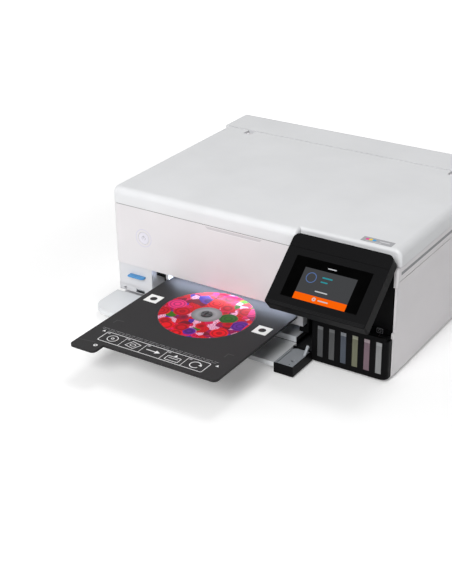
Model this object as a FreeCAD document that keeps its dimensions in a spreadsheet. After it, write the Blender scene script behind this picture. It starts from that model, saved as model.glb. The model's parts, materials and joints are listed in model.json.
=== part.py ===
import FreeCAD, Part
import math
import os
import re

import Sketcher
from FreeCAD import Rotation, Vector

# Disc label printer with a scanner lid, a tilting touch panel, six ink tanks and a disc tray.
# Drawn in millimetres. X runs to the right from the left side of the case, Y runs back from the
# front fascia and Z runs up from the table. Every piece is then moved by the same amount, so
# that the origin lies on the table below the middle of the whole outline.

SIZES = {
    # case
    "body_width": 403, "body_depth": 335, "lid_top": 162, "lid_height": 21, "unit_height": 37.5,
    "seam_gap": 0.3, "shell_wall": 3, "corner_radius": 12, "base_bottom": 4.5, "floor_wall": 2.5,
    "fascia_bottom": 57.5, "fascia_wall": 3, "foot_radius": 9, "foot_inset": 30, "floor_front": 2,
    "unit_gap": 0.8, "frame_margin": 6,
    # document lid and its hinge line
    "feeder_depth": 65, "lid_notch_depth": 12, "lid_skin": 2.5, "lid_rib_depth": 8,
    "pivot_back": 6, "pivot_drop": 4.5, "hinge_pin_radius": 1.5, "hinge_fit": 0.05,
    "hinge_eye_radius": 2.8, "hinge_ear_width": 5, "hinge_gap": 1, "hinge_inset": 40,
    "hinge_pin_grip": 6, "arm_root": 10, "lid_pad_gap": 0.4, "lid_pad_lap": 6,
    "lid_edge_radius": 9, "lid_notch_radius": 4, "lid_heel": 1.2,
    # scanner
    "glass_margin": 26, "glass_front": 20, "bed_front": 11, "glass_thickness": 3, "bed_wall": 2.5,
    "sensor_bar_width": 18, "sensor_bar_height": 7, "sensor_rest_x": 34,
    # rear feeder
    "feeder_gap": 2, "feeder_height": 12, "feeder_wall": 2.5, "feeder_pivot_inset": 4,
    "feeder_pin_radius": 1.2, "feeder_eye_radius": 3, "support_thickness": 2, "support_inset": 40,
    "feeder_inset": 20, "feeder_eye_width": 8, "feeder_post": 4,
    # control panel
    "panel_inset": 129, "panel_width": 128.1, "panel_height": 93.1, "panel_depth": 16,
    "panel_tilt": 49.85, "panel_top_y": -2.7, "panel_corner": 8, "panel_corner_low": 2.5,
    "panel_pivot_down": 6, "panel_pivot_in": 11, "panel_pin_radius": 1.5,
    "panel_eye_radius": 4, "panel_eye_width": 5,
    "screen_left": 15, "screen_width": 97.5, "screen_down": 27, "screen_height": 52.5,
    "screen_depth": 1.2, "crease_down": 17.5, "crease_depth": 0.5, "panel_seat_side": 1,
    "panel_ear_left": 30, "housing_front": 6, "housing_wall": 5, "corner_width": 5,
    "corner_front": 5.5, "corner_height": 44.3, "side_front": 1.5, "side_step": 61,
    "panel_notch": 11.5,
    # power button
    "button_x": 49.8, "button_drop": 61.6, "button_radius": 8, "button_ring_radius": 12,
    "button_gap": 0.3, "button_stem_radius": 3, "button_travel": 1.2, "button_stem": 6,
    # card block
    "card_right": 59.2, "card_front": 1, "card_bottom": 15.5, "card_depth": 40,
    "card_step": 27.4, "card_step_depth": 4, "card_x": 24.9, "card_width": 24, "card_length": 32,
    "card_thickness": 2.1, "card_z": 42.2, "card_out": 6.5, "card_gap": 0.3, "card_inset": 1.5,
    "card_rim": 3, "card_bevel": 3, "lead_hole_radius": 2.3, "lead_hole_x": 12.6,
    "lead_hole_z": 18.6, "usb_x": 30, "usb_width": 14, "usb_z": 16.4, "usb_height": 5.4,
    "usb_depth": 14, "usb_wall": 0.6, "usb_tongue_rise": 3, "usb_tongue": 1.3,
    # ink tanks
    "tank_inset": 99.4, "tank_side": 1.2, "tank_front": -12, "tank_back": 90, "tank_lip": 59.5,
    "tank_roof": 54, "tank_wall": 2.5, "tank_corner": 8, "window_inset": 92.4,
    "window_pitch": 15.4, "window_width": 7.8, "window_low": 11.5, "window_high": 53,
    "window_recess": 0.2, "tank_gap": 0.6, "tank_chamber": 14, "tank_window_gap": 0.3,
    "cap_radius": 5, "cap_height": 7, "cap_y": 30, "icon_inset": 30, "icon_width": 21,
    "icon_low": 54.8, "icon_high": 62.4, "icon_thickness": 1,
    # disc tray
    "tray_left": 82.4, "tray_width": 192.3, "tray_reach": 177, "tab_length": 18.5,
    "tab_width": 36.6, "tray_back": 55, "tray_top": 49, "tray_thickness": 2.8, "tray_corner": 6,
    "disc_x": 179, "disc_y": -51, "disc_radius": 60, "disc_thickness": 1.2, "disc_gap": 0.4,
    "disc_hole": 7.5, "hub_radius": 7.1, "hub_rise": 1.2, "claw_slot": 1.2, "mark_side": 19.5,
    "mark_left_x": 99.4, "mark_right_x": 257.4, "mark_y": -50.2, "mark_thickness": 0.4,
    "mark_hole": 4.5, "mark_play": 0.2, "guide_width": 11, "guide_lip": 2, "guide_front": 12,
    "guide_depth": 85, "tray_play": 0.35, "guide_bottom": 24, "sensor_depth": 20,
    "sensor_height": 12, "lamp_inset": 6, "lamp_depth": 8,
    # front cover
    "cover_left": 1.8, "cover_inset": 99.8, "end_width": 26, "cover_gap": 2.4, "cover_reach": 57,
    "cover_pivot_y": -7, "cover_pivot_z": 10, "cover_low": 9, "cover_high": 15,
    "cover_corner": 24, "cover_pin_radius": 1.2, "cover_eye_radius": 2.5, "end_low": 2,
    "end_pocket": 3, "end_rim": 1, "strut_width": 3, "strut_length": 13, "strut_lean": 43,
    "strut_y": -25, "cover_eye_width": 8, "cover_ear_gap": 0.4, "cover_ear_width": 4,
    "cover_ear_drop": 1.6, "cover_liner": 1.2, "liner_strip": 2.4, "liner_pad": 1.2,
    "liner_pad_width": 14, "liner_pad_depth": 33, "liner_round": 8, "cover_screw_radius": 2.2,
    "cover_screw_inset": 7, "cover_screw_back": 14,
    # output tray and cassette
    "stack_left": 62, "stack_side": 1.2, "stack_front": -2, "stack_rise": 22.9,
    "stack_surface": 22.4, "stack_wall": 2, "stack_depth": 150, "slide_gap": 0.5,
    "cassette_height": 5.3, "cassette_depth": 301, "cassette_wall": 1.6, "cassette_floor": 1,
    "runner_width": 12, "runner_inset": 10,
    # print mechanism
    "rail_inset": 132, "rail_depth": 6, "rail_low": 62, "rail_high": 96, "rail_ends": 12,
    "carriage_inset": 107, "carriage_width": 90, "carriage_depth": 75, "carriage_low": 58,
    "carriage_high": 92, "head_low": 52, "head_inset": 12, "carriage_arm": 4, "rail_gap": 0.3,
    "belt_low": 84, "belt_height": 6, "belt_thickness": 1, "pulley_radius": 5.5, "pulley_back": 22,
    "pulley_inset": 26, "pulley_flange": 1, "pulley_dot": 1, "pulley_shelf": 28,
    "belt_clear": 0.15, "axle_radius": 1.5, "fit": 0.05, "motor_radius": 14, "motor_length": 30,
    # rollers
    "roller_inset": 120, "roller_radius": 6.5, "eject_y": 108, "eject_radius": 4.5,
    "shaft_radius": 3, "roller_left": 84, "roller_right": 273, "bearing_wall": 5,
    "bearing_left": 80, "bearing_right": 277, "bearing_inset": 95, "gear_side": 1, "shaft_end": 3,
    "gear_backlash": 0.25, "eject_wheel": 9, "motor_foot": 10, "entry_front": 2, "entry_low": 37,
    "entry_high": 52.4, "entry_width": 3.2, "entry_side": 8.4, "entry_reach": 13,
    "feed_teeth": 40, "pinion_teeth": 12, "gear_module": 0.8, "tooth_height": 0.8,
    "tooth_tip": 0.12, "tooth_root": 0.26, "gear_width": 5, "platen_front": 118,
    "platen_low": 30, "path_gap": 0.4, "bracket_depth": 6, "bracket_low": 66,
    # rear and electrics
    "inlet_x": 40, "inlet_z": 30, "inlet_width": 24, "inlet_height": 12, "inlet_depth": 18,
    "port_inset": 103, "port_z": 60, "port_width": 15, "port_height": 13, "port_depth": 16,
    "port_pitch": 22, "waste_inset": 73, "waste_width": 55, "waste_z": 20, "waste_height": 30,
    "waste_depth": 110, "supply_depth": 60, "supply_height": 34, "board_thickness": 1.6,
    "board_margin": 8, "pin_radius": 1.2, "pin_spacing": 8, "pin_inset": 4, "port_wall": 1,
    "grip_depth": 8, "grip_height": 10,
}

doc = FreeCAD.newDocument("disc_label_printer")
sheet = doc.addObject("Spreadsheet::Sheet", "Sizes")
for row, (alias, value) in enumerate(SIZES.items(), start=1):
    sheet.set(f"A{row}", alias)
    sheet.set(f"B{row}", str(value))
    sheet.setAlias(f"B{row}", alias)
doc.recompute()

NODES = []          # the finished sub-parts, in the order they are made

NEAR = 0.01         # how close two places are when they count as the same

MIDDLE_X = "body_width / 2"
MIDDLE_Y = "(body_depth - tray_tab) / 2"


# Places that follow from the sizes.
PLACES = {
    "lid_rear": "body_depth - feeder_depth", "pivot_y": "lid_rear - pivot_back",
    "pivot_z": "lid_top - pivot_drop", "lid_seam": "lid_top - lid_height",
    "unit_seam": "lid_top - unit_height", "feeder_split": "lid_top - feeder_height",
    "corner_low": "lid_top - corner_height", "corner_left": "body_width - corner_width",
    "panel_left": "body_width - panel_inset", "tank_left": "body_width - tank_inset",
    "tank_right": "body_width - tank_side", "window_first": "body_width - window_inset",
    "icon_x": "body_width - icon_inset", "cover_right": "body_width - cover_inset",
    "cover_split": "cover_right - end_width", "tray_tab": "tray_reach + tab_length",
    "stack_right": "cover_split - stack_side", "slide_bottom": "cover_high + slide_gap",
    "cassette_top": "slide_bottom + cassette_height", "button_z": "lid_top - button_drop",
    "carriage_rest_x": "body_width - carriage_inset", "port_x": "body_width - port_inset",
    "waste_x": "body_width - waste_inset", "rail_y": "body_depth - rail_inset",
    "carriage_front": "rail_y - carriage_depth", "pulley_y": "rail_y + pulley_back",
    "roller_y": "body_depth - roller_inset", "bearing_back": "body_depth - bearing_inset",
}


def written_out(text):
    """A formula in which each named place is replaced by the sizes that it follows from."""
    return re.sub(r"[a-z][a-z_]*",
                  lambda m: f"({written_out(PLACES[m[0]])})" if m[0] in PLACES else m[0],
                  str(text))


def formula(text):
    """A formula over the sheet's cells, with the sheet's name written before each alias."""
    return re.sub(r"[a-z][a-z_]*", lambda m: "Sizes." + m[0] if m[0] in SIZES else m[0],
                  written_out(text))


def bind(obj, prop, text):
    """Tie one property of an object to a formula over the sheet."""
    obj.setExpression(prop, formula(text))


def node(name, obj):
    """Keep an object as a finished sub-part under the name that its file gets."""
    obj.Label = name
    NODES.append(obj)
    return obj


def put(obj, x, y, z, turn=Rotation()):
    """Place an object whose formulas are drawn from the case's front left corner."""
    obj.Placement = FreeCAD.Placement(Vector(), turn)
    bind(obj, "Placement.Base.x", f"({x}) - {MIDDLE_X}")
    bind(obj, "Placement.Base.y", f"({y}) - {MIDDLE_Y}")
    bind(obj, "Placement.Base.z", z)
    return obj


def box(x, y, z):
    """A block between the low and the high formula of each axis."""
    obj = doc.addObject("Part::Box", "block")
    for prop, (low, high) in zip(("Length", "Width", "Height"), (x, y, z)):
        bind(obj, prop, f"({high}) - ({low})")
    return put(obj, x[0], y[0], z[0])


TURNS = {"x": Rotation(Vector(0, 1, 0), 90), "y": Rotation(Vector(1, 0, 0), -90), "z": Rotation()}


def cylinder(axis, radius, x, y, z):
    """A round bar along one axis, whose own coordinate is a pair and the other two are single."""
    span = {"x": x, "y": y, "z": z}[axis]
    low = {"x": x, "y": y, "z": z}
    low[axis] = span[0]
    obj = doc.addObject("Part::Cylinder", "round")
    bind(obj, "Radius", radius)
    bind(obj, "Height", f"({span[1]}) - ({span[0]})")
    return put(obj, low["x"], low["y"], low["z"], TURNS[axis])


def fuse(*pieces):
    """Several shapes as one; pieces that don't touch stay separate solids of one node."""
    obj = doc.addObject("Part::MultiFuse", "joined")
    obj.Shapes = list(pieces)
    return obj


def cut(base, *tools):
    """A shape less one or more others."""
    obj = doc.addObject("Part::Cut", "cut")
    obj.Base = base
    obj.Tool = tools[0] if len(tools) == 1 else fuse(*tools)
    return obj


def origin_plane(body, role):
    """One of a body's own origin planes."""
    return next(f for f in body.Origin.OriginFeatures if f.Role == role)


def outline(body, points, name="outline"):
    """A closed sketch on the body's XY plane; every corner is tied to its two formulas."""
    sketch = body.newObject("Sketcher::SketchObject", name)
    sketch.AttachmentSupport = [(origin_plane(body, "XY_Plane"), "")]
    sketch.MapMode = "FlatFace"
    rough = [Vector(present(x), present(y), 0) for x, y in points]
    count = len(points)
    for i in range(count):
        sketch.addGeometry(Part.LineSegment(rough[i], rough[(i + 1) % count]), False)
    for i in range(count):
        sketch.addConstraint(Sketcher.Constraint("Coincident", i, 2, (i + 1) % count, 1))
    for i, (x, y) in enumerate(points):
        for kind, text, value in (("DistanceX", x, rough[i].x), ("DistanceY", y, rough[i].y)):
            index = sketch.addConstraint(Sketcher.Constraint(kind, -1, 1, i, 1, value))
            bind(sketch, f"Constraints[{index}]", text)
    return sketch


def present(text):
    """The present value of a formula, for shapes that are made point by point."""
    return float(sheet.evalExpression(formula(text)))


def padded(points, low, high, rounds=()):
    """An outline raised from one height to another; each round is (corners, radius)."""
    body = doc.addObject("PartDesign::Body", "moulding")
    sketch = outline(body, points)
    pad = body.newObject("PartDesign::Pad", "raised")
    pad.Profile = sketch
    bind(pad, "Length", f"({high}) - ({low})")
    put(body, "0", "0", low)
    doc.recompute()
    for corners, radius in rounds:
        places = [sketch.Geometry[i].StartPoint for i in corners]
        round_edges(body, lambda edge: upright_at(edge, places), radius)
    return body


def upright_at(edge, corners):
    """Whether an edge stands upright on one of the given corners of an outline."""
    if len(edge.Vertexes) < 2:
        return False
    a, b = (vertex.Point for vertex in edge.Vertexes)
    if abs(a.z - b.z) < NEAR:
        return False
    return any(math.hypot(p.x - c.x, p.y - c.y) < NEAR for c in corners for p in (a, b))


def round_edges(body, wanted, radius):
    """Round those edges of a body's last feature that the test picks."""
    base = body.Tip
    names = [f"Edge{i + 1}" for i, edge in enumerate(base.Shape.Edges) if wanted(edge)]
    rounding = body.newObject("PartDesign::Fillet", "rounding")
    rounding.Base = (base, names)
    bind(rounding, "Radius", radius)
    doc.recompute()
    return rounding


def rectangle(x0, x1, y0, y1):
    """The four corners of a plan rectangle."""
    return [(x0, y0), (x1, y0), (x1, y1), (x0, y1)]


CARD_BACK = "(card_front + card_depth)"


def base_shell():
    """The lower case: floor tray, side walls, rear wall and rubber feet."""
    inner_left = "shell_wall"
    inner_right = "body_width - shell_wall"
    top = "unit_seam - unit_gap"
    rear = "body_depth - shell_wall"
    floor_top = "base_bottom + floor_wall"

    floor = box((inner_left, inner_right), ("floor_front", rear), ("base_bottom", floor_top))
    tank_bay = box(("tank_left - seam_gap", "body_width"), ("0", "tank_back + seam_gap"),
                   ("0", f"{floor_top} + 1"))
    runners = [box((x, f"{x} + runner_width"), ("floor_front", "floor_front + cassette_depth"),
                   (floor_top, "slide_bottom - seam_gap"))
               for x in ("stack_left + runner_inset", "stack_right - runner_inset - runner_width")]
    shelf = box(("waste_x", "waste_x + waste_width"),
                ("body_depth - seam_gap - waste_depth", rear), (floor_top, "waste_z - seam_gap"))
    node("base_chassis", fuse(cut(floor, tank_bay), *runners, shelf, *cover_hinges()))
    node("left_side_panel", box(("0", inner_left), (f"{CARD_BACK} + seam_gap", "body_depth"),
                                ("base_bottom", top)))
    side = (inner_right, "body_width")
    # the right side steps back twice: behind the folded panel, then under the white corner
    node("right_side_panel", fuse(
        box(side, ("side_front", "body_depth"), ("base_bottom", "side_step")),
        box(side, ("corner_front", "body_depth"), ("side_step - 1", "corner_low - seam_gap")),
        box(side, ("housing_front + housing_wall + seam_gap", "body_depth"),
            ("corner_low - 1", top))))
    wall = box((inner_left, inner_right), (rear, "body_depth"), ("base_bottom", top))
    inlet = box(("inlet_x", "inlet_x + inlet_width"), (f"{rear} - 1", "body_depth + 1"),
                ("inlet_z", "inlet_z + inlet_height"))
    ports = [box((port_left(i), f"{port_left(i)} + port_width"),
                 (f"{rear} - 1", "body_depth + 1"), ("port_z", "port_z + port_height"))
             for i in range(2)]
    waste = box(("waste_x - seam_gap", "waste_x + waste_width + seam_gap"),
                (f"{rear} - 1", "body_depth + 1"),
                ("waste_z - seam_gap", "waste_z + waste_height + seam_gap"))
    node("rear_panel", cut(wall, inlet, *ports, waste))

    feet = []
    for x in ("foot_inset", "body_width - foot_inset"):
        for y in ("foot_inset + foot_radius", "body_depth - foot_inset"):
            feet.append(cylinder("z", "foot_radius", x, y, ("0", "base_bottom")))
    node("rubber_feet", fuse(*feet))


def port_left(i):
    """Left edge of one of the row of data ports at the back."""
    return f"(port_x - {i} * port_pitch)"


def socket(x, z, width, height, y_low, y_high, wall, closed_at="low"):
    """A socket shell that is open at its outer end."""
    outer = box((x, f"{x} + {width}"), (y_low, y_high), (z, f"{z} + {height}"))
    inner_low = f"{y_low} + {wall}" if closed_at == "low" else f"{y_low} - 1"
    inner_high = f"{y_high} + 1" if closed_at == "low" else f"{y_high} - {wall}"
    inner = box((f"{x} + {wall}", f"{x} + {width} - {wall}"), (inner_low, inner_high),
                (f"{z} + {wall}", f"{z} + {height} - {wall}"))
    return cut(outer, inner)


def rear_sockets():
    """Mains inlet, data ports, and the boards and supply that they lead to."""
    wall = "floor_wall"
    low = "body_depth - inlet_depth"
    shell = socket("inlet_x", "inlet_z", "inlet_width", "inlet_height", low, "body_depth", wall)
    pins = [cylinder("y", "pin_radius", f"inlet_x + inlet_width / 2 {side} pin_spacing / 2",
                     (f"{low} + {wall}", "body_depth - pin_inset"), "inlet_z + inlet_height / 2")
            for side in "+-"]
    node("power_inlet", fuse(shell, *pins))
    low = "body_depth - port_depth"
    node("data_ports", fuse(*[
        socket(port_left(i), "port_z", "port_width", "port_height", low, "body_depth",
               "port_wall") for i in range(2)]))
    supply_back = "body_depth - inlet_depth"
    node("power_supply", box(("shell_wall", "stack_left - seam_gap"),
                             (f"{supply_back} - supply_depth", supply_back),
                             ("base_bottom + floor_wall", "inlet_z + supply_height")))
    board_front = "body_depth - port_depth - board_thickness"
    node("main_board", box((f"{port_left(1)} - board_margin", "waste_x + waste_width"),
                           (board_front, "body_depth - port_depth"),
                           ("port_z - board_margin", "port_z + port_height + board_margin")))


def maintenance_box():
    """The waste ink box that slides out of the back by its finger grip."""
    back = "body_depth - seam_gap"
    front = f"{back} - waste_depth"
    case = box(("waste_x", "waste_x + waste_width"), (front, back),
               ("waste_z", "waste_z + waste_height"))
    grip = box(("waste_x + waste_width / 4", "waste_x + waste_width * 3 / 4"),
               (f"{back} - grip_depth", "body_depth + 1"),
               ("waste_z + waste_height - grip_height", "waste_z + waste_height + 1"))
    node("maintenance_box", cut(case, grip))


def card_block():
    """The white front corner with the card slot above and the socket in the lower step."""
    left = "card_inset"
    right = "card_right"
    back = CARD_BACK
    top = "fascia_bottom - seam_gap"
    front = "card_front"
    solid = padded(rectangle(left, right, front, back), "card_bottom", top,
                   [((0,), "corner_radius - card_inset")])
    step = box((f"{left} + card_rim", f"{right} + 1"), (f"{front} - 1",
               f"{front} + card_step_depth"), ("card_bottom - 1", "card_step"))
    slot = box(("card_x - card_gap", "card_x + card_width + card_gap"),
               (f"{front} - 1", "card_front + card_length - card_out + card_gap"),
               ("card_z - card_gap", "card_z + card_thickness + card_gap"))
    port = box(("usb_x", "usb_x + usb_width"), (f"{front} - 1", f"{front} + card_step_depth "
               "+ usb_depth"), ("usb_z", "usb_z + usb_height"))
    hole = cylinder("y", "lead_hole_radius", "lead_hole_x", (f"{front} - 1",
                    f"{front} + card_step_depth + usb_depth"), "lead_hole_z")
    foot = box(("shell_wall", right), (f"{back} - card_depth / 2", back),
               ("base_bottom + floor_wall", "card_bottom"))
    node("card_block", fuse(cut(solid, step, slot, port, hole), foot))
    node("usb_socket", fuse(
        socket("usb_x", "usb_z", "usb_width", "usb_height", f"{front} + card_step_depth",
               f"{front} + card_step_depth + usb_depth", "usb_wall", "high"),
        box(("usb_x + 2 * usb_wall", "usb_x + usb_width - 2 * usb_wall"),
            (f"{front} + card_step_depth + 1", f"{front} + card_step_depth + usb_depth "
             "- usb_wall"), ("usb_z + usb_tongue_rise",
                            "usb_z + usb_tongue_rise + usb_tongue"))))
    node("memory_card", padded(
        [("card_x", f"{front} - card_out"), ("card_x + card_width - card_bevel",
         f"{front} - card_out"), ("card_x + card_width", f"{front} - card_out + card_bevel"),
         ("card_x + card_width", f"{front} - card_out + card_length"),
         ("card_x", f"{front} - card_out + card_length")],
        "card_z", "card_z + card_thickness"))


def tanks():
    """The black tank housing with six slots, the six tanks behind them and their caps."""
    low_wall = "base_bottom + tank_wall"
    side = "body_width - shell_wall"
    shell = padded([("tank_left", "tank_front"), ("tank_right", "tank_front"),
                    ("tank_right", "side_front - seam_gap"), (side, "side_front - seam_gap"),
                    (side, "tank_back"), ("tank_left", "tank_back")],
                   "base_bottom", "tank_lip", [((1,), "tank_corner")])
    above = box(("tank_left - 1", "tank_right + 1"), ("tank_front + tank_wall", "tank_back + 1"),
                ("tank_roof", "tank_lip + 1"))
    inside = box(("tank_left + tank_wall", f"{TANKS_RIGHT} + tank_gap"),
                 ("tank_front + tank_wall", "tank_back - tank_wall"),
                 (low_wall, "tank_roof + 1"))
    windows = [box((window_left(i), f"{window_left(i)} + window_width"),
                   ("tank_front - 1", "tank_front + tank_wall + 1"),
                   ("window_low", "window_high")) for i in range(6)]
    node("tank_housing", cut(shell, above, inside, *windows))

    chambers, caps = [], []
    for i in range(6):
        left = f"{window_left(i)} - (tank_chamber - window_width) / 2"
        chambers.append(box((left, f"{left} + tank_chamber"),
                            ("tank_front + tank_wall + tank_window_gap",
                             "tank_back - tank_wall - tank_gap"),
                            (low_wall, "tank_roof - tank_gap")))
        chambers.append(box((f"{window_left(i)} + tank_window_gap",
                             f"{window_left(i)} + window_width - tank_window_gap"),
                            ("tank_front + window_recess",
                             "tank_front + tank_wall + tank_window_gap + 1"),
                            ("window_low + tank_window_gap", "window_high - tank_window_gap")))
        middle = f"{window_left(i)} + window_width / 2"
        caps.append(cylinder("z", "cap_radius", middle, "cap_y",
                             ("tank_roof - tank_gap", "tank_roof - tank_gap + cap_height")))
    node("ink_tanks", fuse(*chambers))
    node("tank_caps", fuse(*caps))


def window_left(i):
    """Left edge of one tank's window."""
    return f"(window_first + {i} * window_pitch)"


TANKS_RIGHT = f"({window_left(5)} + (tank_chamber + window_width) / 2)"


def disc_tray():
    """The flat disc tray with its finger tab, hub, disc and white sensing marks."""
    left = "tray_left"
    right = "tray_left + tray_width"
    low = "tray_top - tray_thickness"
    points = [(left, "-tray_tab"), (f"{left} + tab_width", "-tray_tab"),
              (f"{left} + tab_width", "-tray_reach"), (right, "-tray_reach"),
              (right, "tray_back"), (left, "tray_back")]
    plate = padded(points, low, "tray_top", [((0, 1, 3, 4, 5), "tray_corner")])
    seat_low = "tray_top - disc_thickness"
    marks = [square_at(x, "mark_side / 2", "tray_top - mark_thickness", "tray_top + 1")
             for x in ("mark_left_x", "mark_right_x")]
    node("disc_tray", cut(plate, disc_seat("disc_gap"), *marks))

    hub = cylinder("z", "hub_radius", "disc_x", "disc_y", (seat_low, "tray_top + hub_rise"))
    cross = [box(("disc_x - claw_slot / 2", "disc_x + claw_slot / 2"),
                 ("disc_y - hub_radius - 1", "disc_y + hub_radius + 1"),
                 ("tray_top - disc_thickness / 2", "tray_top + hub_rise + 1")),
             box(("disc_x - hub_radius - 1", "disc_x + hub_radius + 1"),
                 ("disc_y - claw_slot / 2", "disc_y + claw_slot / 2"),
                 ("tray_top - disc_thickness / 2", "tray_top + hub_rise + 1"))]
    node("disc_hub", cut(hub, *cross))
    node("disc", cut(cylinder("z", "disc_radius", "disc_x", "disc_y", (seat_low, "tray_top")),
                     cylinder("z", "disc_hole", "disc_x", "disc_y",
                              (f"{seat_low} - 1", "tray_top + 1"))))
    pads = [cut(square_at(x, "mark_side / 2 - mark_play", "tray_top - mark_thickness",
                          "tray_top"),
                disc_seat("disc_gap + mark_play"),
                cylinder("z", "mark_hole", x, "mark_y", ("tray_top - mark_thickness - 1",
                                                         "tray_top + 1")))
            for x in ("mark_left_x", "mark_right_x")]
    node("position_marks", fuse(*pads))


def disc_seat(gap):
    """The round seat of the disc, wider than the disc by a gap all round."""
    return cylinder("z", f"disc_radius + {gap}", "disc_x", "disc_y",
                    ("tray_top - disc_thickness", "tray_top + 1"))


def square_at(x, half, low, high):
    """A square block centred on one of the tray's marks."""
    return box((f"{x} - ({half})", f"{x} + {half}"), (f"mark_y - ({half})", f"mark_y + {half}"),
               (low, high))


def tray_guides():
    """The two channel rails that carry the disc tray, with the sensor that sees it enter."""
    low = "tray_top - tray_thickness - tray_play"
    high = "tray_top + tray_play"
    rails = []
    for edge, sign in (("tray_left", -1), ("tray_left + tray_width", 1)):
        outer, inner = f"{edge} + {sign} * guide_width", f"{edge} - {sign} * guide_lip"
        slot_edge = f"{edge} + {sign} * tray_play"
        x = (outer, inner) if sign < 0 else (inner, outer)
        gap = (slot_edge, f"{inner} + 1") if sign < 0 else (f"{inner} - 1", slot_edge)
        rail = box(x, ("guide_front", "guide_front + guide_depth"),
                   ("guide_bottom", f"{high} + guide_lip"))
        channel = box(gap, ("guide_front - 1", "guide_front + guide_depth + 1"), (low, high))
        rails.append(cut(rail, channel))
    sensor = box(("card_right", "tray_left - guide_width"),
                 ("guide_front", "guide_front + sensor_depth"),
                 ("fascia_bottom - sensor_height", "fascia_bottom - unit_gap"))
    node("tray_guides", fuse(*rails, sensor))
    right = "tray_left + tray_width"
    top = "fascia_bottom - unit_gap"
    node("entry_guides", fuse(
        box((f"{right} + 2 * tray_play", f"{right} + entry_side"), ("entry_front", "guide_front"),
            ("entry_low", "entry_high")),
        box((f"{right} - entry_reach", f"{right} + entry_side"), ("entry_front", "guide_front"),
            ("entry_low", low)),
        box(("tray_left - 1", "tray_left + entry_width"), ("entry_front", "guide_front"),
            ("tray_top + tray_play", top))))


def front_cover():
    """The fold-down front cover, flat in front of the case, with its black end and strut."""
    back = "cover_pivot_y - cover_eye_radius - seam_gap"
    shelf = "card_front - seam_gap"
    above = "cover_pivot_z + cover_eye_radius + cover_ear_gap"
    plate = padded([("cover_left", "-cover_reach"), ("cover_split", "-cover_reach"),
                    ("cover_split", "-cover_gap"), ("card_right", "-cover_gap"),
                    ("card_right", shelf), ("cover_left", shelf)],
                   "cover_low", "cover_high", [((0,), "cover_corner")])
    eyes, notches, pin_holes = [], [], []
    for x in COVER_EYES:
        span = (x, f"{x} + cover_eye_width")
        eyes.append(cylinder("x", "cover_eye_radius", span, "cover_pivot_y", "cover_pivot_z"))
        eyes.append(box(span, (back, "cover_pivot_y"),
                        ("cover_pivot_z - cover_eye_radius", above)))
        beside = "(cover_ear_width + 2 * cover_ear_gap)"
        notches.append(box((f"{x} - {beside}", f"{x} + cover_eye_width + {beside}"),
                           (back, "1"), ("cover_low - 1", above)))
        hole = (f"{x} - 1", f"{x} + cover_eye_width + 1")
        pin_holes.append(cylinder("x", "cover_pin_radius + hinge_fit", hole, "cover_pivot_y",
                                  "cover_pivot_z"))
    node("front_cover", cut(fuse(cut(plate, *notches), *eyes), *pin_holes))

    end = box(("cover_split", "cover_right"), ("-cover_reach", back), ("end_low", "cover_high"))
    floor = "cover_high - end_pocket"
    hollow = box(("cover_split - 1", "cover_right - end_rim"),
                 ("-cover_reach + end_rim", f"{back} - end_rim"), (floor, "cover_high + 1"))
    node("cover_end", cut(end, hollow))
    left = "cover_split + seam_gap"
    right = "cover_right - end_rim - seam_gap"
    near = "-cover_reach + end_rim + seam_gap"
    far = f"{back} - end_rim - seam_gap"
    top = f"{floor} + cover_liner"
    lining = padded(rectangle(left, right, near, far), floor, top, [((3,), "liner_round")])
    strip = box((left, f"{left} + liner_strip"), (near, f"{far} - liner_round"),
                (floor, "cover_high"))
    pad = box((f"{right} - liner_pad_width", right), (near, f"{near} + liner_pad_depth"),
              (floor, f"{top} + liner_pad"))
    screw = cylinder("z", "cover_screw_radius", f"{right} - cover_screw_inset",
                     f"{near} + cover_screw_back", (f"{floor} - 1", "cover_high + 1"))
    strut = box((f"{right} - strut_width", right), ("strut_y", "strut_y + strut_width"),
                (f"{floor} + strut_width", f"{floor} + strut_width + strut_length"))
    strut.Placement.Rotation = Rotation(Vector(-1, 0, 0), present("strut_lean"))
    node("cover_end_liner", fuse(cut(fuse(lining, strip, pad), screw), strut))


COVER_EYES = ("(stack_left + hinge_inset)", "(cover_split - hinge_inset)")


def cover_hinges():
    """The fixed ears beside each eye of the front cover, with the pin through them."""
    pieces = []
    for x in COVER_EYES:
        spans = ((f"{x} - cover_ear_gap - cover_ear_width", f"{x} - cover_ear_gap"),
                 (f"{x} + cover_eye_width + cover_ear_gap",
                  f"{x} + cover_eye_width + cover_ear_gap + cover_ear_width"))
        for span in spans:
            pieces.append(cylinder("x", "cover_eye_radius", span, "cover_pivot_y",
                                   "cover_pivot_z"))
            pieces.append(box(span, ("cover_pivot_y", "floor_front"),
                              ("base_bottom", "cover_pivot_z - cover_ear_drop")))
        pieces.append(cylinder("x", "cover_pin_radius", (spans[0][0], spans[1][1]),
                               "cover_pivot_y", "cover_pivot_z"))
    return pieces


def paper_feed():
    """The paper cassette and the grey output tray on top of it."""
    left = "stack_left"
    right = "stack_right"
    front = "stack_front + stack_wall"
    wall = "cassette_wall"
    outer = box((left, right), (front, f"{front} + cassette_depth"),
                ("slide_bottom", "cassette_top"))
    inner = box((f"{left} + {wall}", f"{right} - {wall}"),
                (f"{front} + {wall}", f"{front} + cassette_depth - {wall}"),
                ("slide_bottom + cassette_floor", "cassette_top + 1"))
    node("paper_cassette", cut(outer, inner))
    plate = box((left, right), ("stack_front", "stack_front + stack_depth"),
                ("cassette_top + seam_gap", "stack_surface"))
    lip = box((left, right), ("stack_front", f"{front} - seam_gap"),
              ("slide_bottom", "stack_rise"))
    node("output_tray", fuse(plate, lip))


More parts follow.
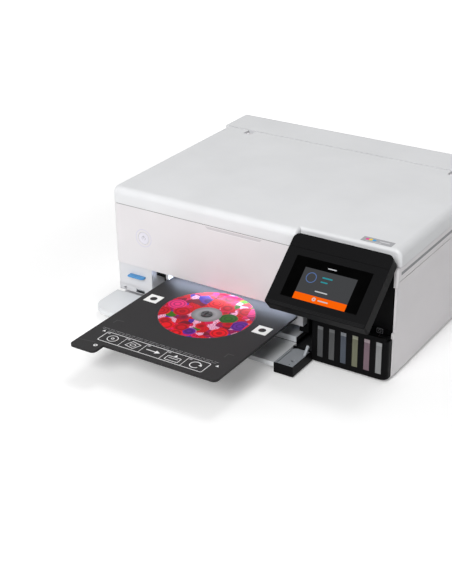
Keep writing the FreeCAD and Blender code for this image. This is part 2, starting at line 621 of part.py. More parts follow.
def frame_and_rail():
    """The side brackets, the carriage rail, the platen and the exit bearings."""
    low = "base_bottom + floor_wall"
    left = "shell_wall"
    right = "body_width - shell_wall"
    node("carriage_rail", box(("rail_ends", "body_width - rail_ends"),
                              ("rail_y", "rail_y + rail_depth"), ("rail_low", "rail_high")))
    frames = [box(x, ("rail_y - frame_margin", "pulley_y + frame_margin"),
                  (low, "rail_high + frame_margin"))
              for x in ((left, "rail_ends"), ("body_width - rail_ends", right))]
    shelf_top = "belt_low - pulley_flange - seam_gap"
    shelf = box(("rail_ends", "rail_ends + pulley_shelf"),
                ("rail_y + rail_depth", "pulley_y + frame_margin"),
                (f"{shelf_top} - floor_wall", shelf_top))
    axle = cylinder("z", "axle_radius", "pulley_inset", "pulley_y",
                    (f"{shelf_top} - 1", f"{BELT_TOP} + pulley_flange + seam_gap"))
    node("side_frames", fuse(*frames, shelf, axle))

    path_low = "tray_top - tray_thickness - path_gap"
    bed = box(("roller_left", "roller_right"), ("platen_front", "rail_y"),
              ("platen_low", path_low))
    ends = box(("bearing_left", "bearing_right"),
               ("platen_front", "platen_front + bracket_depth"),
               ("platen_low", f"{path_low} - 1"))
    node("platen", fuse(bed, ends))
    plates = []
    for x0, x1 in (("bearing_left - bearing_wall", "bearing_left"),
                   ("bearing_right", "bearing_right + bearing_wall")):
        plate = box((x0, x1), ("guide_front + guide_depth", "bearing_back"),
                    ("stack_surface + frame_margin", path_low))
        hanger = box((x0, x1), ("rail_y", "rail_y + rail_depth"), (f"{path_low} - 1", "rail_low"))
        holes = [cylinder("x", "shaft_radius + fit", (f"{x0} - 1", f"{x1} + 1"), *at)
                 for at in (ROLLER, EJECT)]
        plates.append(cut(fuse(plate, hanger), *holes))
    node("bearing_plates", fuse(*plates))


BELT_TOP = "(belt_low + belt_height)"
PATH_LOW = "(tray_top - tray_thickness - tray_play)"
ROLLER = ("roller_y", f"({PATH_LOW} - roller_radius)")
EJECT = ("eject_y", f"({PATH_LOW} - eject_radius)")
PITCH = "(feed_teeth * gear_module / 2)"
PINION_PITCH = "(pinion_teeth * gear_module / 2)"
PINION = (f"(roller_y + {PITCH} + {PINION_PITCH} + gear_backlash)", ROLLER[1])


def gear(label, teeth, width_low, width_high, y, z, bore, half_turn):
    """A spur gear about an X axis; half_turn puts a gap instead of a tooth towards +Y."""
    count = int(round(present(teeth)))
    module = present("gear_module")
    pitch = count * module / 2
    tip, root = pitch + present("tooth_height") * module, pitch - module
    narrow, wide = present("tooth_tip"), present("tooth_root")
    step = 2 * math.pi / count
    points = []
    for i in range(count):
        middle = (i + (0.5 if half_turn else 0)) * step
        for share, radius in ((-wide, root), (-narrow, tip), (narrow, tip), (wide, root)):
            angle = middle + share * step
            points.append(Vector(0, radius * math.cos(angle), radius * math.sin(angle)))
    face = Part.Face(Part.makePolygon(points + points[:1]))
    width = present(width_high) - present(width_low)
    solid = face.extrude(Vector(width, 0, 0))
    if bore:
        solid = solid.cut(Part.makeCylinder(present(bore), width, Vector(), Vector(1, 0, 0)))
    wheel = doc.addObject("Part::Feature", label)
    wheel.Shape = solid
    put(wheel, width_low, y, z)
    return wheel


def rollers():
    """The driven feed and exit rollers with their gear, the motor and its pinion."""
    span = ("bearing_left - bearing_wall - gear_width - gear_side",
            "bearing_right + bearing_wall + shaft_end")
    gear_x = (f"{span[0]}", f"{span[0]} + gear_width")
    shaft = cylinder("x", "shaft_radius", span, *ROLLER)
    rubber = cylinder("x", "roller_radius", ("roller_left", "roller_right"), *ROLLER)
    core = cylinder("x", "shaft_radius", ("roller_left - 1", "roller_right + 1"), *ROLLER)
    node("feed_shaft", shaft)
    node("feed_roller", cut(rubber, core))
    node("feed_gear", gear("gear", "feed_teeth", *gear_x, *ROLLER, "shaft_radius", False))
    node("motor_pinion", gear("pinion", "pinion_teeth", *gear_x, *PINION,
                              "axle_radius + fit", True))
    motor_x = (f"{span[0]} - seam_gap - motor_length", f"{span[0]} - seam_gap")
    node("feed_motor", fuse(
        cylinder("x", "motor_radius", motor_x, *PINION),
        cylinder("x", "axle_radius", (motor_x[0], gear_x[1]), *PINION),
        box((motor_x[0], "stack_left - seam_gap"),
            (f"{PINION[0]} - motor_foot", f"{PINION[0]} + motor_foot"),
            ("base_bottom + floor_wall", PINION[1]))))
    eject_shaft = cylinder("x", "shaft_radius",
                           ("bearing_left - bearing_wall - shaft_end",
                            "bearing_right + bearing_wall + shaft_end"), *EJECT)
    wheels = [cylinder("x", "eject_radius", (x, f"{x} + eject_wheel"), *EJECT)
              for x in (f"roller_left + {i} * (roller_right - roller_left - eject_wheel) / 5"
                        for i in range(6))]
    node("exit_roller", fuse(eject_shaft, *wheels))


def print_carriage():
    """The carriage that hangs on the rail, the head below it, and the belt that draws it."""
    x = ("carriage_rest_x", "carriage_rest_x + carriage_width")
    back = "rail_y - rail_gap"
    over = "rail_high + rail_gap"
    body = box(x, ("carriage_front", back), ("carriage_low", "carriage_high"))
    rear = box(x, (f"{back} - carriage_arm", back), ("carriage_low", f"{over} + carriage_arm"))
    top = box(x, (f"{back} - 1", f"rail_y + rail_depth + rail_gap"),
              (over, f"{over} + carriage_arm"))
    belt_front = "pulley_y - pulley_radius - belt_clear - belt_thickness"
    clamp = box((f"{x[0]} + carriage_width / 3", f"{x[1]} - carriage_width / 3"),
                ("rail_y + rail_depth + rail_gap - 1", f"{belt_front} - belt_clear"),
                (over, f"{over} + carriage_arm"))
    clamp_leg = box((f"{x[0]} + carriage_width / 3", f"{x[1]} - carriage_width / 3"),
                    ("rail_y + rail_depth + rail_gap", f"{belt_front} - belt_clear"),
                    ("belt_low", f"{over} + 1"))
    node("print_carriage", fuse(body, rear, top, clamp, clamp_leg))
    node("print_head", box((f"{x[0]} + head_inset", f"{x[1]} - head_inset"),
                           ("carriage_front + head_inset", f"{back} - head_inset"),
                           ("head_low", "carriage_low")))


def belt_drive():
    """The belt loop with its two pulleys, their axles and the carriage motor."""
    left, right = "pulley_inset", "body_width - pulley_inset"
    outer = "pulley_radius + belt_clear + belt_thickness"
    inner = "pulley_radius + belt_clear"

    def loop(radius, low, high):
        ends = [cylinder("z", radius, x, "pulley_y", (low, high)) for x in (left, right)]
        run = box((left, right), (f"pulley_y - ({radius})", f"pulley_y + {radius}"), (low, high))
        return fuse(*ends, run)

    top = BELT_TOP
    node("timing_belt", cut(loop(outer, "belt_low", top),
                            loop(inner, "belt_low - 1", f"{top} + 1")))
    for name, x in (("idler_pulley", left), ("drive_pulley", right)):
        wheel = cylinder("z", "pulley_radius", x, "pulley_y",
                         ("belt_low - pulley_flange", f"{top} + pulley_flange"))
        marks = cylinder("z", "pulley_dot", f"{x} + pulley_radius / 2", "pulley_y",
                         (f"{top}", f"{top} + pulley_flange + 1"))
        bore = cylinder("z", "axle_radius + fit", x, "pulley_y",
                        ("belt_low - pulley_flange - 1", f"{top} + pulley_flange + 1"))
        node(name, cut(wheel, bore, marks))
    shelf_top = "belt_low - pulley_flange - seam_gap"
    motor = cylinder("z", "motor_radius", right, "pulley_y",
                     (f"{shelf_top} - motor_length", shelf_top))
    axle = cylinder("z", "axle_radius", right, "pulley_y",
                    (f"{shelf_top} - 1", f"{top} + pulley_flange + seam_gap"))
    node("carriage_motor", fuse(motor, axle))


def scanner_unit():
    """The upper unit: fascia, housing, scanner bed with its glass and the sensor bar."""
    low = "unit_seam"
    top = "lid_seam - seam_gap"
    front = "fascia_wall"
    back = "lid_rear"
    right = "panel_left - panel_seat_side"
    fascia = padded(
        [("0", "0"), (right, "0"), (right, front), (front, front), (front, CARD_BACK),
         ("0", CARD_BACK)],
        "fascia_bottom", top, [((0,), "corner_radius"), ((3,), "corner_radius - fascia_wall")])
    hole = cylinder("y", "button_radius + button_gap", "button_x", ("-1", f"{front} + 1"),
                    "button_z")
    brackets = [box((x, f"{x} + bracket_depth"), (front, f"{front} + bracket_depth"),
                    ("bracket_low", low))
                for x in ("corner_radius + bracket_depth", "panel_left - 3 * bracket_depth")]
    node("front_fascia", cut(fuse(fascia, *brackets), hole))
    cavity = ("bed_wall + fascia_wall", "body_width - bed_wall - fascia_wall")
    frame = padded(
        [(front, front), ("body_width", front), ("body_width", back), ("0", back),
         ("0", CARD_BACK), (front, CARD_BACK)], low, top, [((0,), "corner_radius")])
    corner_clear = box((right, "body_width + 1"),
                       (f"{front} - 1", "housing_front + housing_wall"), (f"{low} - 1",
                                                                         f"{top} + 1"))
    hollow = box(cavity, (f"{front} + bed_front", f"{back} - bed_wall"),
                 (f"{low} + bed_wall", f"{top} - glass_thickness"))
    opening = box(("glass_margin", "body_width - glass_margin"),
                  ("glass_front", f"{back} - glass_margin"),
                  (f"{top} - glass_thickness - 1", f"{top} + 1"))
    corner = padded(
        rectangle("corner_left", "body_width", "corner_front", "housing_front + housing_wall"),
        "corner_low", top, [((1,), "housing_wall / 2")])
    ears = [ear(x, ("pivot_y - hinge_eye_radius", "pivot_y + hinge_eye_radius"), f"{top} - 1")
            for x in EARS]
    pin_holes = [cylinder("x", "hinge_pin_radius + hinge_fit", (f"{x} - 1",
                          f"{x} + hinge_ear_width + 1"), "pivot_y", "pivot_z") for x in EARS]
    node("scanner_bed", cut(fuse(cut(frame, corner_clear, hollow, opening), corner, *ears),
                            *pin_holes))
    node("scanner_glass", box(("glass_margin", "body_width - glass_margin"),
                              ("glass_front", f"{back} - glass_margin"),
                              (f"{top} - glass_thickness", top)))
    node("scan_sensor_bar", box(
        ("sensor_rest_x", "sensor_rest_x + sensor_bar_width"),
        ("glass_front", f"{back} - glass_margin"),
        (f"{low} + bed_wall + seam_gap", f"{low} + bed_wall + seam_gap + sensor_bar_height")))
    face = box((right, "corner_left"), ("housing_front", "housing_front + housing_wall"),
               ("tank_roof + seam_gap", top))
    side = box((f"{right} - fascia_wall", right), (front, "housing_front + housing_wall"),
               ("fascia_bottom", low))
    arms = []
    for x in PANEL_EARS:
        span = (x, f"{x} + panel_eye_width")
        arms.append(cylinder("x", "panel_eye_radius", span, *PANEL_PIVOT))
        arms.append(box(span, (PANEL_PIVOT[0], "housing_front + housing_wall"),
                        (f"{PANEL_PIVOT[1]} - panel_eye_radius",
                         f"{PANEL_PIVOT[1]} + panel_eye_radius")))
        arms.append(box(span, ("housing_front", "housing_front + housing_wall"),
                        (f"{top} - 1", f"{PANEL_PIVOT[1]} + panel_eye_radius")))
    bores = [cylinder("x", "panel_pin_radius + hinge_fit", (f"{x} - 1",
                      f"{x} + panel_eye_width + 1"), *PANEL_PIVOT) for x in PANEL_EARS]
    node("panel_housing", cut(fuse(face, side, *arms), *bores))
    node("icon_plate", box(("icon_x", "icon_x + icon_width"),
                           ("housing_front - icon_thickness", "housing_front"),
                           ("icon_low", "icon_high")))
    node("tray_lamp", box(("roller_left + lamp_inset", "roller_right - lamp_inset"),
                          (f"{front}", f"{front} + lamp_depth"),
                          ("fascia_bottom", "fascia_bottom + lamp_depth")))


EARS = ("hinge_inset + hinge_gap", "body_width - hinge_inset - hinge_gap - hinge_ear_width")
ARMS = ("hinge_inset + 2 * hinge_gap + hinge_ear_width",
        "body_width - hinge_inset - 2 * hinge_gap - 2 * hinge_ear_width")
NOTCHES = (("hinge_inset", "hinge_inset + 3 * hinge_gap + 2 * hinge_ear_width"),
           ("body_width - hinge_inset - 3 * hinge_gap - 2 * hinge_ear_width",
            "body_width - hinge_inset"))


def ear(x, y, low):
    """A hinge ear with a round head on the lid's pivot line."""
    span = (x, f"{x} + hinge_ear_width")
    return fuse(cylinder("x", "hinge_eye_radius", span, "pivot_y", "pivot_z"),
                box(span, y, (low, "pivot_z")))


def power_button():
    """The round power key with its ring, and the stem that reaches the switch."""
    back = "fascia_wall + button_stem"
    node("power_button", fuse(
        cylinder("y", "button_radius", "button_x", ("0", "fascia_wall"), "button_z"),
        cylinder("y", "button_stem_radius", "button_x", ("fascia_wall", back), "button_z")))
    node("button_switch", fuse(
        box(("button_x - button_ring_radius", "button_x + button_ring_radius"),
            (f"{back} + button_travel + seam_gap", f"{back} + button_travel + seam_gap "
             "+ board_thickness"),
            ("button_z - button_ring_radius", "button_z + button_ring_radius")),
        box(("button_x - button_ring_radius", "button_x - button_ring_radius + board_thickness"),
            ("fascia_wall", f"{back} + button_travel + seam_gap"),
            ("button_z - button_ring_radius", "button_z + button_ring_radius"))))


def pin_span(notch):
    """How far a hinge pin reaches across a notch and into the lid on both sides."""
    return f"{notch[0]} - hinge_pin_grip", f"{notch[1]} + hinge_pin_grip"


def document_lid():
    """The white lid with its rolled front edge, pad, notches and hinge pins."""
    notch_x = "panel_left - panel_seat_side"
    points = [("0", "0"), (notch_x, "0"), (notch_x, "panel_notch"),
              ("body_width", "panel_notch"), ("body_width", "lid_rear"), ("0", "lid_rear")]
    lid = padded(points, "lid_seam", "lid_top", [((0,), "corner_radius")])
    top = lid.Tip.Shape.BoundBox.ZMax
    rear, notch = present("lid_rear"), present("panel_notch")
    beside = present(notch_x)

    def at_notch(edge):
        place = edge.CenterOfMass
        along = abs(place.y - notch) < NEAR or abs(place.x - beside) < NEAR
        return edge.BoundBox.ZMin > top - NEAR and along

    def rolled(edge):
        high = edge.BoundBox.ZMin > top - NEAR
        return high and edge.CenterOfMass.y < rear - NEAR and not at_notch(edge)
    round_edges(lid, rolled, "lid_edge_radius")
    round_edges(lid, at_notch, "lid_notch_radius")
    hollow = box(("shell_wall", "body_width - shell_wall"),
                 ("panel_notch + shell_wall", "pivot_y - lid_notch_depth"),
                 ("lid_seam - 1", "lid_top - lid_edge_radius"))
    ceiling = box(("lid_edge_radius", "body_width - lid_edge_radius"),
                  ("panel_notch + lid_notch_radius", "pivot_y - lid_notch_depth"),
                  ("lid_seam - 1", "lid_top - lid_skin"))
    notches = [box(x, ("pivot_y - lid_rib_depth", "lid_rear + 1"),
                   ("lid_seam - 1", "lid_top + 1")) for x in NOTCHES]
    holes = [cylinder("x", "hinge_pin_radius", pin_span(x), "pivot_y", "pivot_z")
             for x in NOTCHES]
    heel = box(("-1", "body_width + 1"), ("pivot_y", "lid_rear + 1"),
               ("lid_seam - 1", "lid_seam + lid_heel"))
    node("document_lid", cut(lid, hollow, ceiling, heel, *notches, *holes))
    node("lid_hinge_pins", fuse(*[
        cylinder("x", "hinge_pin_radius", pin_span(x), "pivot_y", "pivot_z")
        for x in NOTCHES]))
    node("lid_pad", box(("glass_margin - lid_pad_lap", "body_width - glass_margin + lid_pad_lap"),
                        ("glass_front", "lid_rear - glass_margin"),
                        ("lid_seam + lid_pad_gap", "lid_top - lid_skin")))


def rear_feeder():
    """The fixed rear housing with its lid arms, and the cover that folds back with its support."""
    front = "lid_rear + feeder_gap"
    split = "feeder_split"
    bottom = "unit_seam - unit_gap"
    outer = box(("0", "body_width"), (front, "body_depth"), (bottom, split))
    inner = box(("feeder_wall", "body_width - feeder_wall"),
                (f"{front} + feeder_wall", "body_depth - 2 * feeder_eye_radius - feeder_wall"),
                (f"{bottom} - 1", f"{split} + 1"))
    arms = []
    for x in ARMS:
        span = (x, f"{x} + hinge_ear_width")
        arms.append(fuse(
            cylinder("x", "hinge_eye_radius", span, "pivot_y", "pivot_z"),
            box(span, ("pivot_y", f"{front} - seam_gap"),
                ("pivot_z - hinge_eye_radius", "pivot_z")),
            box(span, (f"{front} - feeder_gap + seam_gap", f"{front} - seam_gap"),
                (f"{split} - arm_root", "pivot_z")),
            box(span, (f"{front} - seam_gap", front), (f"{split} - arm_root", split))))
    holes = [cylinder("x", "hinge_pin_radius + hinge_fit", (f"{x} - 1",
                      f"{x} + hinge_ear_width + 1"), "pivot_y", "pivot_z") for x in ARMS]

    pivot_y = "body_depth - feeder_pivot_inset"
    pivot_z = f"{split} + seam_gap + feeder_eye_radius"
    back = f"{pivot_y} - feeder_eye_radius - seam_gap"
    cover = box(("0", "body_width"), (front, back), (f"{split} + seam_gap", "lid_top"))
    hollow = box(("feeder_wall", "body_width - feeder_wall"),
                 (f"{front} + feeder_wall", f"{back} - feeder_wall"),
                 (f"{split} - 1", "lid_top - feeder_wall"))
    eyes, bores, posts, pins = [], [], [], []
    for x in ("support_inset", "body_width - support_inset - feeder_eye_width"):
        span = (x, f"{x} + feeder_eye_width")
        eyes.append(cylinder("x", "feeder_eye_radius", span, pivot_y, pivot_z))
        eyes.append(box(span, (f"{back} - 1", pivot_y),
                        (pivot_z, f"{pivot_z} + feeder_eye_radius")))
        bores.append(cylinder("x", "feeder_pin_radius + hinge_fit",
                              (f"{x} - 1", f"{x} + feeder_eye_width + 1"), pivot_y, pivot_z))
        for low, high in ((f"{x} - hinge_gap - feeder_post", f"{x} - hinge_gap"),
                          (f"{x} + feeder_eye_width + hinge_gap",
                           f"{x} + feeder_eye_width + hinge_gap + feeder_post")):
            posts.append(cylinder("x", "feeder_eye_radius", (low, high), pivot_y, pivot_z))
            posts.append(box((low, high), (f"{pivot_y} - feeder_eye_radius", "body_depth"),
                             (split, pivot_z)))
        pins.append(cylinder("x", "feeder_pin_radius",
                             (f"{x} - hinge_gap - feeder_post",
                              f"{x} + feeder_eye_width + hinge_gap + feeder_post"),
                             pivot_y, pivot_z))
    node("rear_feed_cover", cut(fuse(cut(cover, hollow), *eyes), *bores))
    node("rear_housing", cut(fuse(cut(outer, inner), *arms, *posts, *pins), *holes))
    node("paper_support", box(("support_inset + feeder_inset",
                               "body_width - support_inset - feeder_inset"),
                              (f"{front} + feeder_wall", f"{back} - feeder_wall"),
                              ("lid_top - feeder_wall - support_thickness",
                               "lid_top - feeder_wall")))


# Directions on the tilted panel: down its face and into its depth.
DOWN = ("(-sin(panel_tilt * 1 deg))", "(-cos(panel_tilt * 1 deg))")
INWARD = ("cos(panel_tilt * 1 deg)", "(-sin(panel_tilt * 1 deg))")
PANEL_EARS = ("(panel_left + panel_ear_left)",
              "(panel_left + panel_width - panel_ear_left - panel_eye_width)")


def panel_point(down, inward):
    """Where a point of the panel's own grid lies: down its face and inward from its front."""
    y = f"(panel_top_y + ({down}) * {DOWN[0]} + ({inward}) * {INWARD[0]})"
    z = f"(lid_top + ({down}) * {DOWN[1]} + ({inward}) * {INWARD[1]})"
    return y, z


PANEL_PIVOT = panel_point("panel_pivot_down", "panel_pivot_in")


def tilted(obj, x, down, inward):
    """Stand an object on the panel: its X across, its Y up the face and its Z out of it."""
    put(obj, x, *panel_point(down, inward), Rotation(Vector(1, 0, 0), 90))
    bind(obj, "Placement.Rotation.Angle", "90 - panel_tilt")
    return obj


def panel_block(x, down, inward):
    """A block on the tilted panel, across it, down its face and into its depth."""
    obj = doc.addObject("Part::Box", "panel_block")
    for prop, (low, high) in zip(("Length", "Width", "Height"), (x, down, inward)):
        bind(obj, prop, f"({high}) - ({low})")
    return tilted(obj, f"panel_left + ({x[0]})", down[1], inward[1])


def control_panel():
    """The tilting black panel with its screen, and the pins that it turns on."""
    outline_ = rectangle("0", "panel_width", "-panel_height", "0")
    plate = padded(outline_, "0", "panel_depth",
                   [((2, 3), "panel_corner"), ((0, 1), "panel_corner_low")])
    tilted(plate, "panel_left", "0", "panel_depth")
    glass = (("screen_left", "screen_left + screen_width"),
             ("screen_down", "screen_down + screen_height"))
    seat = panel_block(*glass, ("-1", "screen_depth"))
    crease = panel_block(("-1", "panel_width + 1"), ("crease_down", "crease_down + crease_depth"),
                         ("-1", "crease_depth"))
    notches, pins = [], []
    for x in PANEL_EARS:
        low, high = f"{x} - panel_left - hinge_gap", f"{x} - panel_left + panel_eye_width " \
            "+ hinge_gap"
        notches.append(panel_block((low, high),
                                   ("-1", "panel_pivot_down + panel_eye_radius + hinge_gap"),
                                   ("panel_pivot_in - panel_eye_radius - hinge_gap",
                                    "panel_depth + 1")))
        span = (f"{x} - hinge_gap - hinge_pin_grip",
                f"{x} + panel_eye_width + hinge_gap + hinge_pin_grip")
        pins.append(cylinder("x", "panel_pin_radius", span, *PANEL_PIVOT))
    node("control_panel", fuse(cut(plate, seat, crease, *notches), *pins))
    node("touch_screen", panel_block(*glass, ("0", "screen_depth")))


def check():
    """Stop if any object failed, or if a finished shape is empty or broken."""
    doc.recompute()
    for obj in doc.Objects:
        if "Invalid" in obj.State or "Error" in obj.State:
            raise SystemExit(f"{obj.Name} ({obj.Label}) failed: {obj.State}")
    for obj in NODES:
        if obj.Shape.isNull() or not obj.Shape.isValid():
            raise SystemExit(f"{obj.Label} has no valid shape")


def write():
    """One STEP file for each finished sub-part."""
    os.makedirs("parts", exist_ok=True)
    for obj in NODES:
        obj.Shape.exportStep(f"parts/{obj.Label}.step")
    print(len(NODES), "sub-parts written")


for make in (base_shell, rear_sockets, maintenance_box, card_block, tanks, disc_tray,
             tray_guides, front_cover, paper_feed, frame_and_rail, rollers, print_carriage,
             belt_drive, scanner_unit, power_button, document_lid, rear_feeder, control_panel):
    make()
check()
write()
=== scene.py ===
import bpy, json, math
from itertools import cycle
from mathutils import Matrix, Vector


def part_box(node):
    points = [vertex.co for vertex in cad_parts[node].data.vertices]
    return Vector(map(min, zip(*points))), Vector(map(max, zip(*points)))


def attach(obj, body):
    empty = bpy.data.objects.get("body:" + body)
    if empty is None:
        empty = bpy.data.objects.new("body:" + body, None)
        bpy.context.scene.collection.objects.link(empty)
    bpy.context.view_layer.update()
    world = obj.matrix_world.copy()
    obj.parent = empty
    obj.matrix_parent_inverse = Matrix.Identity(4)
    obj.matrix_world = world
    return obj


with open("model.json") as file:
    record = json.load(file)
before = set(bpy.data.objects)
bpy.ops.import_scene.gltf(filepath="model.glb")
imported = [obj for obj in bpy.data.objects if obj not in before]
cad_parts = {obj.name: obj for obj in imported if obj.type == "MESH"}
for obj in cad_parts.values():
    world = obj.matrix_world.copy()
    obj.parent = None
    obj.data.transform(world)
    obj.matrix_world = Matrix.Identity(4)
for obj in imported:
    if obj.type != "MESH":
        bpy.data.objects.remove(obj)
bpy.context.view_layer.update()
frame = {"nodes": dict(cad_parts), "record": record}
nodes = frame["nodes"]
MM = 0.001

# Places in millimetres from the case's left side, the fascia and the table.
ORIGIN_X, ORIGIN_Y = 201.5, 69.75               # the frame's own origin
CASE_WIDTH, LID_TOP, TRAY_TOP = 403, 162, 49
PANEL_LEFT, PANEL_EDGE_Y = 274, -2.7            # the upper left corner of the panel's face
PANEL_TILT = math.radians(49.85)                # of that face, from upright
PLATE_Y, COVER_PAD_TOP = 5.0, 14.4
POWER_X, POWER_Z = 49.8, 100.4
DISC_X, DISC_Y, DISC_RADIUS = 179, -51, 60
INKS_LEFT, INKS_RIGHT = 306.8, 399.2
INK_LEVEL_FROM, INK_LEVEL_TO = 48.1, 48.7       # the inks' surface, which has a soft edge
INK_CAP = 0.4                                   # the dark rim along the tops of the tanks

BLACK_RGBA, WHITE_RGBA = (0.0, 0.0, 0.0, 1), (1, 1, 1, 1)
MIX_FIRST, MIX_SECOND, MIX_RESULT = 6, 7, 2     # the colour sockets of a mix node


def at(x, y, z):
    """A point of the frame, in metres, from a place in millimetres."""
    return Vector(((x - ORIGIN_X) * MM, (y - ORIGIN_Y) * MM, z * MM))


# ---------------------------------------------------------------- shader nodes
def linear(r, g, b):
    """A colour for a shader from sRGB values of 0 to 255."""
    def one(v):
        v = v / 255
        return v / 12.92 if v <= 0.04045 else ((v + 0.055) / 1.055) ** 2.4
    return (one(r), one(g), one(b), 1.0)


def material(name):
    mat = bpy.data.materials.new(name)
    mat.use_nodes = True
    tree = mat.node_tree
    return mat, tree, tree.nodes["Principled BSDF"]


def put(shader, **values):
    """Sets inputs of a shader; their names are written with _ for a space."""
    for key, value in values.items():
        shader.inputs[key.replace("_", " ")].default_value = value


def add(tree, kind, **values):
    """A new node, with each named input or, where there is none, setting."""
    node = tree.nodes.new(kind)
    for key, value in values.items():
        if key in node.inputs:
            node.inputs[key].default_value = value
        else:
            setattr(node, key, value)
    return node


def feed(tree, socket, source):
    """Links an output into an input, or sets the input to a plain value."""
    if isinstance(source, bpy.types.NodeSocket):
        tree.links.new(source, socket)
    else:
        socket.default_value = source


def operate(tree, kind, operation, *sources):
    """A maths node of a kind, with what goes into its first inputs."""
    node = add(tree, kind, operation=operation)
    for socket, source in zip(node.inputs, sources):
        feed(tree, socket, source)
    return node.outputs


def maths(tree, operation, *sources):
    return operate(tree, "ShaderNodeMath", operation, *sources)["Value"]


def vectors(tree, operation, *sources):
    outputs = operate(tree, "ShaderNodeVectorMath", operation, *sources)
    return outputs["Value" if operation == "LENGTH" else "Vector"]


def mix(tree, factor, first, second, blend="MIX"):
    node = add(tree, "ShaderNodeMix", data_type="RGBA", blend_type=blend)
    feed(tree, node.inputs["Factor"], factor)
    feed(tree, node.inputs[MIX_FIRST], first)
    feed(tree, node.inputs[MIX_SECOND], second)
    return node.outputs[MIX_RESULT]


def rescale(tree, source, before=(0.0, 1.0), after=(0.0, 1.0), **settings):
    """Takes a value from one range to another."""
    node = add(tree, "ShaderNodeMapRange", **settings)
    node.inputs["From Min"].default_value, node.inputs["From Max"].default_value = before
    node.inputs["To Min"].default_value, node.inputs["To Max"].default_value = after
    feed(tree, node.inputs["Value"], source)
    return node.outputs["Result"]


def object_place(tree):
    return add(tree, "ShaderNodeTexCoord").outputs["Object"]


def place_axes(tree):
    """The outputs X, Y and Z of a point's place on the object."""
    split = add(tree, "ShaderNodeSeparateXYZ")
    feed(tree, split.inputs["Vector"], object_place(tree))
    return split.outputs


def noise(tree, scale, detail, rough=0.5, place=None):
    node = add(tree, "ShaderNodeTexNoise", Scale=scale, Detail=detail, Roughness=rough)
    feed(tree, node.inputs["Vector"], place or object_place(tree))
    return node.outputs["Fac"]


def ramp(tree, source, stops, mode="LINEAR"):
    node = add(tree, "ShaderNodeValToRGB")
    elements = node.color_ramp.elements
    node.color_ramp.interpolation = mode
    while len(elements) < len(stops):
        elements.new(0.5)
    for element, (position, colour) in zip(elements, stops):
        element.position, element.color = position, colour
    feed(tree, node.inputs["Fac"], source)
    return node.outputs["Color"]


def stops_of(colours):
    return [(position, linear(*rgb)) for position, rgb in colours]


def mottle(tree, source, rgb, dark, light, start=0.3, end=0.7):
    """A colour that wanders between a darker and a lighter share of itself."""
    def shade(share):
        return tuple(min(1.0, c * share) for c in linear(*rgb)[:3]) + (1.0,)
    return ramp(tree, source, [(start, shade(dark)), (end, shade(light))])


def wander(tree, scale, low, high):
    """A colour that wanders slowly between two given ones."""
    return ramp(tree, noise(tree, scale, detail=2), [(0.2, low), (0.8, high)])


def roughen(tree, shader, height, strength, distance=0.00005, normal=None):
    """A fine bump; the distance is in metres."""
    bump = add(tree, "ShaderNodeBump", Strength=strength, Distance=distance)
    feed(tree, bump.inputs["Height"], height)
    if normal:
        feed(tree, bump.inputs["Normal"], normal)
    feed(tree, shader.inputs["Normal"], bump.outputs["Normal"])


# ---------------------------------------------------------------- materials
GLOSS_SPREAD = 0.06
COAT_ROUGHNESS = 0.12


def plastic(name, rgb, rough, grain, scale=1500, spread=0.03, edge=0.5, coat=0.0, specular=0.5):
    """Moulded plastic: slight mottling of colour, spark-eroded grain and rounded edges."""
    mat, tree, shader = material(name)
    tint = mottle(tree, noise(tree, scale=14, detail=3), rgb, 1 - spread, 1 + spread)
    feed(tree, shader.inputs["Base Color"], tint)
    fine = noise(tree, scale, detail=3, rough=0.6)
    gloss = rescale(tree, fine, after=(rough - GLOSS_SPREAD, rough + GLOSS_SPREAD))
    feed(tree, shader.inputs["Roughness"], gloss)
    bevel = add(tree, "ShaderNodeBevel", Radius=edge * MM, samples=4)
    roughen(tree, shader, fine, grain, normal=bevel.outputs["Normal"])
    put(shader, Specular_IOR_Level=specular)
    if coat:
        put(shader, Coat_Weight=coat, Coat_Roughness=COAT_ROUGHNESS)
    return mat


def two_tone(name, rgb, other, over_x):
    """Plastic of one colour up to a place across the case and of another beyond it."""
    mat = plastic(name, rgb, rough=0.42, grain=0.2)
    tree = mat.node_tree
    base = tree.nodes["Principled BSDF"].inputs["Base Color"]
    beyond = maths(tree, "GREATER_THAN", place_axes(tree)["X"], at(over_x, 0, 0).x)
    feed(tree, base, mix(tree, beyond, base.links[0].from_socket, linear(*other)))
    return mat


def metal(name, rgb, rough=0.35):
    """Brushed metal: fine level streaks, thin along z."""
    mat, tree, shader = material(name)
    mapping = add(tree, "ShaderNodeMapping", Scale=(1, 1, 12))
    feed(tree, mapping.inputs["Vector"], object_place(tree))
    streaks = noise(tree, scale=260, detail=4, place=mapping.outputs["Vector"])
    feed(tree, shader.inputs["Base Color"], mottle(tree, streaks, rgb, dark=0.9, light=1.05))
    roughen(tree, shader, streaks, strength=0.2)
    put(shader, Metallic=1.0, Roughness=rough)
    return mat


def rubber(name, rgb):
    mat, tree, shader = material(name)
    pores = noise(tree, scale=900, detail=4, rough=0.7)
    feed(tree, shader.inputs["Base Color"], mottle(tree, pores, rgb, dark=0.8, light=1.25))
    roughen(tree, shader, pores, strength=0.5, distance=0.0001)
    put(shader, Roughness=0.85)
    return mat


def printed(name, rgb, rough=0.5):
    """Screen-printed ink: slightly uneven cover on the plastic."""
    mat, tree, shader = material(name)
    specks = noise(tree, scale=2500, detail=3, rough=0.7)
    cover = mottle(tree, specks, rgb, dark=0.85, light=1.03, start=0.25, end=0.6)
    feed(tree, shader.inputs["Base Color"], cover)
    put(shader, Roughness=rough)
    return mat


